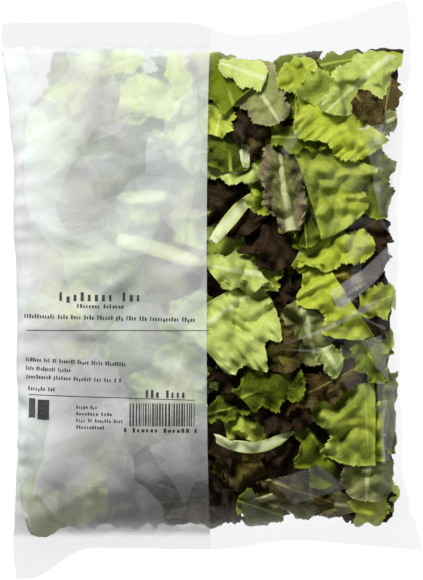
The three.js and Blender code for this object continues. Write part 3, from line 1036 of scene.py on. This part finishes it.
class Heap:
    """A heap that leaves are dropped on one by one, then pressed under the film.

    On the back everything is upside down.
    """

    GAP = 0.5  # between the film and the outermost leaves
    FOLLOW, STALK_FOLLOW = 0.55, 0.15  # how far a leaf gives way to the hollows under it
    CLEAR = 0.3  # between a leaf and the one under it
    RELIEF_KEPT = 0.7  # share of the room in which leaves keep their relief

    def __init__(self, space, start, ceiling, side):
        self.space, self.side = space, side
        self.start = start.copy()
        self.height = start.copy()
        self.ceiling = ceiling - self.GAP
        self.leaves = []

    def room(self):
        """Room left under the film, averaged over about the size of a leaf."""
        free = (self.ceiling - self.height) * (self.space.thick > 6)
        return blurred(free, 20)

    def drop(self, leaf, x, y, turn, inset, thickness):
        """Drapes a leaf over the heap at x, y, stiffly enough to bridge hollows, and adds it."""
        space = self.space
        px, py = leaf.laid(x, y, turn)
        px, py = space.moved_in(px, py, inset)
        px, py = space.keep_in(px, py, inset, x + 3 * y)
        floor = space.at(blurred(spread(self.height, 2), 2), px, py) + self.CLEAR
        floor += leaf.rib_under * (not leaf.flip)
        plane = np.stack([np.ones(px.size), px.ravel(), py.ravel()], -1)
        fit = np.linalg.lstsq(plane, floor.ravel(), rcond=None)[0]
        broad = (plane @ fit).reshape(px.shape)
        follow = self.STALK_FOLLOW if leaf.kind == "stalk" else self.FOLLOW
        z = leaf.rise + follow * floor + (1 - follow) * broad
        z += np.quantile(floor - z, 0.8)
        soft = 0.7
        z = floor + soft * np.logaddexp(0.0, (z - floor) / soft)
        self.leaves.append((leaf, px, py, z))
        top = z + thickness + leaf.rib_under * leaf.flip
        i = np.clip(np.rint((px - space.low[0]) / space.STEP).astype(int), 0, space.counts[0] - 1)
        j = np.clip(np.rint((py - space.low[1]) / space.STEP).astype(int), 0, space.counts[1] - 1)
        splat = np.full(space.counts, -1e3)
        np.maximum.at(splat, (i, j), top)
        holes = (splat < -1e2) & (spread((splat > -1e2).astype(float), 1) > 0.5)
        splat = np.where(holes, spread(splat, 1), splat)
        self.height = np.maximum(self.height, splat)

    def pressed(self, thickness):
        """Presses the heap under the film and gives each leaf its thickness: parts by kind.

        The upper leaves keep their relief and the hidden ones under them are squeezed.
        """
        top = blurred(spread(self.height, 2), 4)
        room = np.maximum(self.ceiling - self.start, 0.5)
        total = np.maximum(top - self.start, 0.5)
        kept = self.RELIEF_KEPT * np.minimum(room, total)
        squeeze = np.clip((room - kept) / np.maximum(total - kept, 0.1), 0.02, 1.0)
        kept, squeeze = blurred(-spread(-kept, 2), 3), blurred(-spread(-squeeze, 2), 3)
        lowered = np.minimum(top, self.ceiling)
        parts = {}
        for leaf, x, y, z in self.leaves:
            depth = self.space.at(top, x, y) - z
            keep = self.space.at(kept, x, y)
            depth = np.minimum(depth, keep) + np.maximum(depth - keep, 0) * self.space.at(squeeze, x, y)
            self.thicken(parts, leaf, x, y, self.space.at(lowered, x, y) - depth, thickness)
        return parts

    def thicken(self, parts, leaf, x, y, z, thickness):
        """Adds one leaf, as a closed blade with its rib, to the part of its kind."""
        middle = np.stack([x, y, z], -1)
        normal = np.cross(np.gradient(middle, axis=0), np.gradient(middle, axis=1))
        normal /= np.maximum(np.linalg.norm(normal, axis=-1, keepdims=True), 1e-6)
        normal *= math.copysign(1.0, normal[..., 2].mean())
        upper = thickness / 2 + leaf.rib_under * leaf.flip
        lower = thickness / 2 + leaf.rib_under * (not leaf.flip)
        top = middle + normal * upper[..., None]
        under = middle - normal * lower[..., None]
        for sheet in (top, under):
            sheet[..., 2] *= self.side
        columns, rows = z.shape
        index = np.arange(columns * rows).reshape(columns, rows)
        over = columns * rows
        quads = grid_quads(index)
        loop = np.concatenate([index[:-1, 0], index[-1, :-1], index[:0:-1, -1], index[0, :0:-1]])
        after = np.roll(loop, -1)
        rim = np.stack([after, loop, loop + over, after + over], -1)
        faces = np.concatenate([quads, quads[:, ::-1] + over, rim])
        area = np.cross(top[1, 0] - top[0, 0], top[0, 1] - top[0, 0])[2] * self.side
        if (area < 0) != (self.side < 0):
            faces = faces[:, ::-1]
        empty = {"places": [], "faces": [], "pattern": [], "look": [], "count": 0}
        part = parts.setdefault(leaf.kind, empty)
        part["faces"].append(faces + part["count"])
        part["places"].append(np.concatenate([top.reshape(-1, 3), under.reshape(-1, 3)]))
        part["pattern"].append(np.tile(leaf.pattern.reshape(-1, 3), (2, 1)))
        part["look"].append(np.tile(leaf.look.reshape(-1, 3), (2, 1)))
        part["count"] += 2 * over


def piece_from(name, part, material):
    """Joins pressed leaves of one kind into one piece."""
    mesh = bpy.data.meshes.new(name)
    mesh.from_pydata(np.concatenate(part["places"]) * MM, [], np.concatenate(part["faces"]))
    for key in ("pattern", "look"):
        values = np.concatenate(part[key])
        layer = mesh.attributes.new(key, "FLOAT_VECTOR", "POINT")
        layer.data.foreach_set("vector", values.astype(np.float32).ravel())
    mesh.polygons.foreach_set("use_smooth", np.ones(len(mesh.polygons), bool))
    mesh.materials.append(material)
    mesh.set_sharp_from_angle(angle=math.radians(50))
    return new_object(name, mesh)


# Leaves laid one by one on top of the front: kind, x, y, turn of the tip in degrees, length and width; in
# mm.
# Then, where they aren't those of a plain leaf, the sides and ends that the knife left, whether the
# underside shows, and how far the axis bends
LAID = (
    ("pale", -62, 104, 30, 30, 24),
    ("green", -71, 99, 100, 30, 18),
    ("bright", -69, 95, 20, 20, 14, WHOLE, (0.2, 0.9)),
    ("pale", -62, 76, 60, 30, 24),
    ("pale", -10, 76, 80, 34, 26, WHOLE, (0.1, 0.9)),
    ("pale", -24, 70, 40, 26, 18, LEFT_HALF, (0.1, 0.9)),
    ("pale", -44, 111, 20, 22, 14),
    ("green", -51, 84, -100, 42, 22, WHOLE, (0.1, 1.0), True, 0.05),
    ("pale", -31, 93, 10, 28, 24, WHOLE, (0.3, 0.8)),
    ("bright", -16, 104, -75, 26, 12, WHOLE, (0.0, 1.0)),
    ("pale", -80, 72, 120, 34, 26, WHOLE, (0.15, 1.0)),
    ("bronze", -39, 66, -60, 30, 20),
    ("red", -24, 56, -70, 22, 16),
    ("bronze", -59, 49, 10, 34, 20, WHOLE, (0.2, 0.9)),
    ("stalk", -31, 45, 3, 26, 6, WHOLE, (0.0, 1.0), False, 0.05),
    ("green", -84, 34, 80, 36, 24, WHOLE, (0.1, 1.0), True),
    ("pale", -62, 14, 5, 46, 28, WHOLE, (0.1, 0.9)),
    ("green", -60, 31, 0, 36, 16, WHOLE, (0.1, 0.9)),
    ("pale", -8, 36, 80, 30, 22, WHOLE, (0.1, 0.9)),
    ("green", -28, 6, -20, 36, 22, WHOLE, (0.1, 0.9)),
    ("stalk", -24, 19, -17, 44, 7, WHOLE, (0.0, 1.0), False, 0.03),
    ("pale", -72, -6, 170, 30, 20, WHOLE, (0.2, 1.0)),
    ("green", -44, -28, -30, 36, 26, WHOLE, (0.1, 1.0), True),
    ("pale", -68, -32, 5, 38, 16, WHOLE, (0.2, 1.0)),
    ("green", -80, -52, 100, 42, 26),
    ("red", -56, -52, 60, 34, 26),
    ("pale", -10, -16, 62, 32, 24),
    ("pale", -20, -50, 72, 50, 36),
    ("bright", -34, -73, 100, 20, 18),
    ("red", -27, -90, 10, 50, 30, WHOLE, (0.1, 0.9)),
    ("green", -57, -84, 60, 30, 20),
    ("red", -44, -110, 0, 36, 18),
    ("red", -12, -110, 0, 34, 18),
    ("bronze", -28, -104, 8, 44, 10, WHOLE, (0.1, 1.0), False, 0.05),
    ("red", -64, -118, 4, 40, 11),
    ("red", -30, -118, 2, 40, 11),
    ("bronze", -4, -117, 0, 36, 11),
    ("bright", -73, -109, 178, 42, 28, WHOLE, (0.0, 1.0), False, 0.1),
    ("bright", -54, -84, 62, 26, 11),
    ("red", -76, -92, 33, 24, 12, WHOLE, (0.1, 1.0), False, 0.1),
    ("red", 10, -104, 20, 30, 24),
    ("red", 87, -105, -90, 20, 14),
    ("red", 39, -88, -40, 36, 28, WHOLE, (0.0, 1.0)),
    ("bronze", 16, -86, 70, 24, 20, WHOLE, (0.1, 0.9), True),
    ("green", 24, -106, 160, 24, 14),
    ("olive", 50, -103, -8, 44, 16),
    ("bronze", 44, -98, -20, 34, 12, WHOLE, (0.1, 1.0), False, 0.05),
    ("bright", 77, -107, -90, 22, 18, WHOLE, (0.2, 1.0)),
    ("green", 48, -82, -60, 32, 22, RIGHT_HALF, (0.1, 0.9), False, 0.1),
    ("olive", 76, -90, -95, 26, 26, WHOLE, (0.3, 1.0), True),
    ("green", 85, -60, 92, 40, 26, LEFT_BLADE, (0.0, 1.0), True),
    ("bright", 78, -68, 86, 30, 22, LEFT_BLADE, (0.0, 1.0)),
    ("bright", 63, -66, -86, 40, 50, RIGHT_HALF, (0.4, 1.0)),
    ("red", 10, -72, 30, 26, 20),
    ("bright", 22, -63, 8, 32, 18, WHOLE, (0.2, 1.0)),
    ("green", 8, -57, 12, 24, 10),
    ("stalk", 22, -73, 8, 39, 5.5, WHOLE, (0.0, 1.0), False, -0.66),
    ("red", 34, -58, -30, 30, 22),
    ("bronze", 56, -45, 27, 38, 16),
    ("red", 10, -38, -60, 30, 24),
    ("green", 29, -46, 18, 32, 22, WHOLE, (0.1, 1.0), False, 0.05),
    ("red", 76, -13, -30, 36, 28),
    ("green", 77, -34, -60, 26, 16, WHOLE, (0.1, 1.0), True),
    ("red", 30, -12, -80, 30, 20),
    ("olive", 46, -20, -75, 34, 24),
    ("bronze", 32, -28, -60, 26, 20),
    ("bright", 83, -6, 20, 20, 16),
    ("pale", 58, -34, -60, 15, 11, WHOLE, (0.2, 0.9)),
    ("bronze", 66, 9, 20, 32, 16),
    ("bright", 53, -4, -59, 56, 44, RIGHT_BLADE),
    ("pale", 15, -21, 36, 42, 60, (-0.26, 1.0)),
    ("bright", 27, 9, 80, 18, 13, WHOLE, (0.2, 1.0)),
    ("pale", 11, 9, 170, 28, 18, WHOLE, (0.2, 0.9), True),
    ("red", 28, 26, -70, 34, 28),
    ("red", 82, 24, -100, 30, 20),
    ("bright", 60, 20, 8, 38, 18, WHOLE, (0.1, 1.0), True),
    ("red", 9, 40, -60, 32, 26),
    ("stalk", 10, 35, 50, 30, 6.5, WHOLE, (0.0, 1.0), False, 0.03),
    ("green", 44, 32, -60, 26, 18),
    ("green", 84, 52, -80, 36, 20),
    ("bright", 26, 47, -110, 22, 17, WHOLE, (0.2, 1.0)),
    ("pale", 11, 57, -5, 30, 11, WHOLE, (0.0, 1.0)),
    ("green", 9, 71, 95, 28, 24),
    ("stalk", 16, 72, 98, 22, 4, WHOLE, (0.0, 1.0), False, -0.08),
    ("bronze", 26, 74, -40, 26, 20),
    ("bright", 52, 67, 174, 40, 16),
    ("green", 44, 38, -85, 36, 16),
    ("olive", 35, 49, 98, 42, 22, WHOLE, (0.0, 0.95), True),
    ("bright", 62, 49, -83, 48, 70, LEFT_BLADE, (0.1, 0.95)),
    ("bronze", 88, 94, -100, 20, 14),
    ("olive", 82, 79, 20, 28, 12, WHOLE, (0.0, 1.0), True),
    ("green", 44, 74, 0, 30, 14),
    ("red", 20, 89, 20, 36, 26),
    ("bright", 4, 84, 80, 20, 14),
    ("olive", 25, 102, -60, 30, 26, WHOLE, (0.2, 1.0), True),
    ("green", 66, 112, 10, 26, 12),
    ("green", 5, 106, 110, 28, 22),
    ("pale", 15, 111, 160, 24, 16, WHOLE, (0.2, 1.0)),
    ("bright", 43, 107, 30, 18, 12, WHOLE, (0.2, 1.0)),
    ("bright", 53, 84, -46, 62, 50, RIGHT_BLADE),
    ("bright", 51, 99, 45, 18, 15, WHOLE, (0.2, 1.0)),
    ("bright", 80, 113, 10, 30, 12),
    ("pale", 81, 101, 221, 44, 24, WHOLE, (0.1, 0.95), True),
    ("bronze", 76, 88, -50, 18, 13),
    ("bright", -79, -112, 250, 26, 20),
)

# Each kind of leaf: slot, then the colours dark, light, rib, margin and blush, and roughness
FINISHES = {
    "bright": (
        "green_leaf",
        (0.115, 0.17, 0.001), (0.51, 0.58, 0.036), (0.64, 0.7, 0.24),
        (0.62, 0.69, 0.13), (0.2, 0.14, 0.03), 0.38,
    ),
    "pale": (
        "green_leaf",
        (0.23, 0.31, 0.015), (0.575, 0.655, 0.13), (0.7, 0.76, 0.4),
        (0.63, 0.7, 0.2), (0.3, 0.2, 0.08), 0.4,
    ),
    "green": (
        "dark_leaf",
        (0.012, 0.022, 0.0006), (0.135, 0.185, 0.003), (0.4, 0.46, 0.07),
        (0.34, 0.4, 0.03), (0.06, 0.03, 0.006), 0.36,
    ),
    "bronze": (
        "dark_leaf",
        (0.022, 0.018, 0.001), (0.165, 0.13, 0.01), (0.36, 0.31, 0.1),
        (0.09, 0.045, 0.015), (0.04, 0.016, 0.007), 0.36,
    ),
    "red": (
        "red_leaf",
        (0.009, 0.0055, 0.001), (0.058, 0.034, 0.014), (0.16, 0.105, 0.06),
        (0.025, 0.012, 0.006), (0.015, 0.0075, 0.0035), 0.3,
    ),
    "olive": (
        "dark_leaf",
        (0.1, 0.11, 0.018), (0.28, 0.3, 0.075), (0.6, 0.64, 0.32),
        (0.4, 0.42, 0.16), (0.2, 0.13, 0.09), 0.4,
    ),
    "stalk": (
        "rib",
        (0.4, 0.48, 0.08), (0.62, 0.68, 0.24), (0.76, 0.8, 0.5),
        (0.6, 0.67, 0.2), (0.4, 0.3, 0.2), 0.36,
    ),
}

# The kinds that are strewn in front, behind the milky print and on the back, over and over in this order
FILL_KINDS = ("red", "bright", "green", "red", "bronze", "green", "red", "pale", "bronze")
MILKY_KINDS = ("pale", "green", "pale", "bright", "pale", "bronze", "pale")
BACK_KINDS = ("red", "bright", "green", "pale", "bronze", "green", "red", "bright", "bronze")

# How far apart the places of a leaf's grid lie, in mm: closer where more of the leaf shows
LAID_SPACING, MILKY_SPACING, BORDER_SPACING, FILL_SPACING, BACK_SPACING = 0.85, 1.1, 1.4, 1.7, 1.9
FRONT_BORDER, BACK_BORDER = 44, 36  # leaves along the border


TRIES = 8  # places that are compared for each strewn leaf


def strew(heap, count, settings, rng, spacing, kinds, right=0.45, sizes=(30, 48)):
    """Drops leaves wherever the heap has most room, up to a share of the width to the right."""
    space = heap.space
    for number in range(count):
        room = heap.room()
        tries = rng.uniform((-0.45 * WIDTH, -0.43 * LENGTH), (right * WIDTH, 0.43 * LENGTH), (TRIES, 2))
        free = space.at(room, tries[:, 0], tries[:, 1])
        x, y = tries[int(np.argmax(free))]
        kind = kinds[number % len(kinds)]
        cut = CUTS[int(rng.integers(len(CUTS)))]
        ends = ((0.1, 1.0), (0.35, 1.0), (0.2, 0.8))[int(rng.integers(3))]
        length, width = rng.uniform(*sizes), 0.9 * rng.uniform(*sizes)
        leaf = Leaf(kind, length, width, rng, spacing, cut, ends, bool(rng.integers(2)))
        heap.drop(leaf, x, y, rng.uniform(0, 360), rng.uniform(0.0, 7.0), settings.thickness)


def line_border(heap, count, settings, rng, spacing):
    """Lays smaller leaves all along the border, which make the heap's outline ragged."""
    space = heap.space
    for number in range(count):
        turn = 2 * math.pi * (number + rng.uniform(-0.3, 0.3)) / count
        x = 0.5 * WIDTH * np.clip(1.35 * math.cos(turn), -0.97, 0.97)
        y = 0.48 * LENGTH * np.clip(1.35 * math.sin(turn), -0.97, 0.97)
        kind = FILL_KINDS[int(rng.integers(len(FILL_KINDS)))]
        cut = CUTS[int(rng.integers(len(CUTS)))]
        length, width = rng.uniform(20, 34), rng.uniform(18, 28)
        leaf = Leaf(kind, length, width, rng, spacing, cut, (0.15, 1.0), number % 2 == 0)
        toward = math.degrees(math.atan2(y, x)) + rng.uniform(-60, 60)
        heap.drop(leaf, x, y, toward, rng.uniform(0.0, 5.0), settings.thickness)


CORE_SHARE = 0.11  # half the core's thickness, over the bag's
PACKED_SHARE = 0.1  # how far from the bag's middle the leaves start, over its thickness


def core_mesh(space):
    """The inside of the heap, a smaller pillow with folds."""
    columns, rows = 90, 120
    a = np.sin(np.linspace(-1, 1, columns) * math.pi / 2)[:, None] * np.ones(rows)[None, :]
    b = np.ones(columns)[:, None] * np.sin(np.linspace(-1, 1, rows) * math.pi / 2)[None, :]
    y = b * 0.37 * LENGTH * (1 - 0.12 * a**4)
    x = a * 0.36 * WIDTH * (1 - 0.12 * b**4)
    front, back = space.at(space.front, x, y), space.at(space.back, x, y)
    middle = (front + back) / 2
    profile = (np.clip(1 - a**4, 0, 1) * np.clip(1 - b**4, 0, 1)) ** 0.5
    half = CORE_SHARE * (front - back) * profile
    folds = 1.6 * noise(x / 11, y / 11, 3.0) + 0.9 * noise(x / 4.5, y / 4.5, 5.0)
    top = middle + half + folds * profile
    under = middle - half + folds[::-1] * profile
    index = np.arange(columns * rows).reshape(columns, rows)
    quads = grid_quads(index)
    places = np.concatenate([np.stack([x, y, z], -1).reshape(-1, 3) for z in (top, under)])
    mesh = bpy.data.meshes.new("heap_core_painted_shade")
    mesh.from_pydata(places * MM, [], np.concatenate([quads, quads[:, ::-1] + columns * rows]))
    work = bmesh.new()
    work.from_mesh(mesh)
    bmesh.ops.remove_doubles(work, verts=work.verts, dist=1e-6)
    work.to_mesh(mesh)
    work.free()
    mesh.polygons.foreach_set("use_smooth", np.ones(len(mesh.polygons), bool))
    return mesh


# --------------------------------------------------------------------------------------------------
# Operators


class SALAD_OT_film(bpy.types.Operator):
    """Makes the film: clear on one half and milky on the other"""

    bl_idname = "salad.film"
    bl_label = "Film"

    def execute(self, context):
        settings = context.scene.salad_film
        film = new_object("film", film_mesh(settings))
        film.data.materials.append(clear_film_material())
        film.data.materials.append(milky_film_material(tuple(settings.milk), settings.haze))
        settle(film)
        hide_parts("bag")
        folds = fold_object(film)
        folds.data.materials.append(fold_sheen_material())
        settle(folds)
        return {"FINISHED"}


class SALAD_OT_print(bpy.types.Operator):
    """Prints plain marks on the milky half: rows of blocks where words would be, rules, bars and squares"""

    bl_idname = "salad.print"
    bl_label = "Print marks"

    def execute(self, context):
        stamp = Stamp(bpy.data.objects["film"])
        rng = np.random.default_rng(PRINT_SEED)
        for x, y, width, height, slope, words in LINES:
            stamp.words(x, y, width, height, slope, words, rng)
        for x, y, width, slope in RULES:
            stamp.block(x, y, width, RULE_HEIGHT, slope)
        x, end = BARS[0], BARS[0] + BARS[2]
        while x < end:
            bar = rng.uniform(0.3, 0.95)
            stamp.block(x, BARS[1], min(bar, end - x), BARS[3], BARS[4])
            x += bar + rng.uniform(0.35, 0.9)
        for x, y, width, height in SQUARES:
            stamp.block(x, y, width, height, SQUARE_SLOPE)
        marks = stamp.object("print_marks")
        marks.data.materials.append(ink_material(tuple(context.scene.salad_film.ink)))
        settle(marks)
        return {"FINISHED"}


class SALAD_OT_leaves(bpy.types.Operator):
    """Fills the bag with cut leaves, dropped one by one on a packed core"""

    bl_idname = "salad.leaves"
    bl_label = "Leaves"

    def execute(self, context):
        settings = context.scene.salad_leaves
        space = Space(bpy.data.objects["film"])
        core = new_object("heap_core_painted_shade", core_mesh(space))
        core.data.materials.append(core_shade_material())
        settle(core)
        rng = np.random.default_rng(settings.seed)
        packed = PACKED_SHARE * space.thick * smoothstep(space.thick, 8.0, 26.0)
        front = Heap(space, space.middle + packed, space.front, 1)
        line_border(front, FRONT_BORDER, settings, rng, BORDER_SPACING)
        strew(front, settings.front_fill, settings, rng, FILL_SPACING, FILL_KINDS)
        strew(front, settings.milky_fill, settings, rng, MILKY_SPACING, MILKY_KINDS, 0.02, (26, 40))
        for kind, x, y, turn, length, width, *cut in LAID:
            leaf = Leaf(kind, length, width, rng, LAID_SPACING, *cut)
            front.drop(leaf, x, y, turn, rng.uniform(-1.0, 3.5), settings.thickness)
        back = Heap(space, -(space.middle - packed), -space.back, -1)
        line_border(back, BACK_BORDER, settings, rng, FILL_SPACING)
        strew(back, settings.back_fill, settings, rng, BACK_SPACING, BACK_KINDS)
        parts = {"front": front.pressed(settings.thickness), "back": back.pressed(settings.thickness)}
        for kind, (slot, *colours) in FINISHES.items():
            material = leaf_material(f"{kind}_leaf", *colours)
            for where, kinds in parts.items():
                if kind in kinds:
                    settle(piece_from(f"{kind}_leaves_{where}", kinds[kind], material))
        return {"FINISHED"}


FLOOR_REACH = 6.0  # from the middle to each side, in metres
FLOOR_DEPTH = 0.4  # below the bag, in mm
FLOOR_LIGHT = 1.05  # strength of the floor's own light
# Square lamps: name, place, side, power and whether the film mirrors them; in metres and watts
LAMPS = (
    ("key", (-0.4, 0.95, 1.25), 0.5, 39.0, False),
    ("sheen", (-0.5, 1.2, 1.0), 1.6, 3.5, True),
    ("side", (1.0, 0.05, 0.95), 0.5, 4.0, True),
    ("fill", (-0.8, -0.7, 1.1), 1.2, 2.0, True),
)
SENSOR = 36.0  # width of the camera's sensor, in mm
FRAMING = 1.003  # length that the picture takes in, over the bag's
EYE_LIFT = 0.006  # in metres


def stage_floor(settings):
    """A wide pale floor that gives off part of its light itself."""
    mesh = bpy.data.meshes.new("floor")
    corners = ((-1, -1), (1, -1), (1, 1), (-1, 1))
    places = [(x * FLOOR_REACH, y * FLOOR_REACH, -FLOOR_DEPTH * MM) for x, y in corners]
    mesh.from_pydata(places, [], [(0, 1, 2, 3)])
    n = Nodes("floor")
    paint = n.node("ShaderNodeBsdfDiffuse", {"Color": (*settings.floor, 1.0)})
    glow = n.node("ShaderNodeEmission", {"Color": WHITE, "Strength": FLOOR_LIGHT})
    both = n.node(
        "ShaderNodeMixShader", {"Fac": settings.floor_glow, 1: paint.outputs[0], 2: glow.outputs[0]}
    )
    mesh.materials.append(n.finish(both.outputs[0]))
    new_object("floor", mesh)


def studio_world(settings):
    """Surroundings that are white to the camera and dim to everything else."""
    world = bpy.data.worlds.new("studio")
    world.use_nodes = True
    tree = world.node_tree
    shade = tree.nodes["Background"]
    shade.inputs["Color"].default_value = WHITE
    rays = tree.nodes.new("ShaderNodeLightPath")
    strength = tree.nodes.new("ShaderNodeMapRange")
    strength.inputs["To Min"].default_value = settings.ambient
    tree.links.new(rays.outputs["Is Camera Ray"], strength.inputs["Value"])
    tree.links.new(strength.outputs["Result"], shade.inputs["Strength"])
    return world


def hang_lamp(name, place, size, power, mirrored):
    """A square lamp that faces the middle of the bag."""
    lamp = bpy.data.lights.new(name, "AREA")
    lamp.shape = "SQUARE"
    lamp.size = size
    lamp.energy = power
    light = new_object(name, lamp)
    light.visible_glossy = mirrored
    light.location = place
    light.rotation_euler = (-Vector(place)).to_track_quat("-Z", "Y").to_euler()


def overhead_camera(settings):
    """A camera that looks straight down on the bag from afar."""
    camera = bpy.data.cameras.new("camera")
    camera.lens = settings.lens
    camera.sensor_width = SENSOR
    eye = new_object("camera", camera)
    reach = LENGTH * MM * FRAMING * settings.lens / camera.sensor_width
    eye.location = (0.0, 0.0, reach + EYE_LIFT)
    return eye


class SALAD_OT_stage(bpy.types.Operator):
    """Makes the floor, the lights and the camera"""

    bl_idname = "salad.stage"
    bl_label = "Stage"

    def execute(self, context):
        settings = context.scene.salad_stage
        scene = context.scene
        stage_floor(settings)
        scene.world = studio_world(settings)
        for lamp in LAMPS:
            hang_lamp(*lamp)
        scene.camera = overhead_camera(settings)
        scene.view_settings.view_transform = "Standard"
        return {"FINISHED"}


class SALAD_PT_bag(bpy.types.Panel):
    """Lists the pieces of the bag"""

    bl_label = "Salad bag"
    bl_idname = "SALAD_PT_bag"
    bl_space_type = "VIEW_3D"
    bl_region_type = "UI"
    bl_category = "Salad bag"

    def draw(self, context):
        for operator in OPERATORS:
            self.layout.operator(operator.bl_idname)


SETTINGS = {"salad_film": FilmSettings, "salad_leaves": LeafSettings, "salad_stage": StageSettings}
OPERATORS = (SALAD_OT_film, SALAD_OT_print, SALAD_OT_leaves, SALAD_OT_stage)
CLASSES = (*SETTINGS.values(), *OPERATORS, SALAD_PT_bag)


def register():
    """Registers the classes and their settings."""
    for item in CLASSES:
        bpy.utils.register_class(item)
    for name, group in SETTINGS.items():
        setattr(bpy.types.Scene, name, PointerProperty(type=group))


def unregister():
    """Removes what register added."""
    for name in SETTINGS:
        delattr(bpy.types.Scene, name)
    for item in reversed(CLASSES):
        bpy.utils.unregister_class(item)


def main():
    """Builds the bag."""
    register()
    bpy.ops.salad.film()
    bpy.ops.salad.print()
    bpy.ops.salad.leaves()
    bpy.ops.salad.stage()


if __name__ == "__main__":
    main()
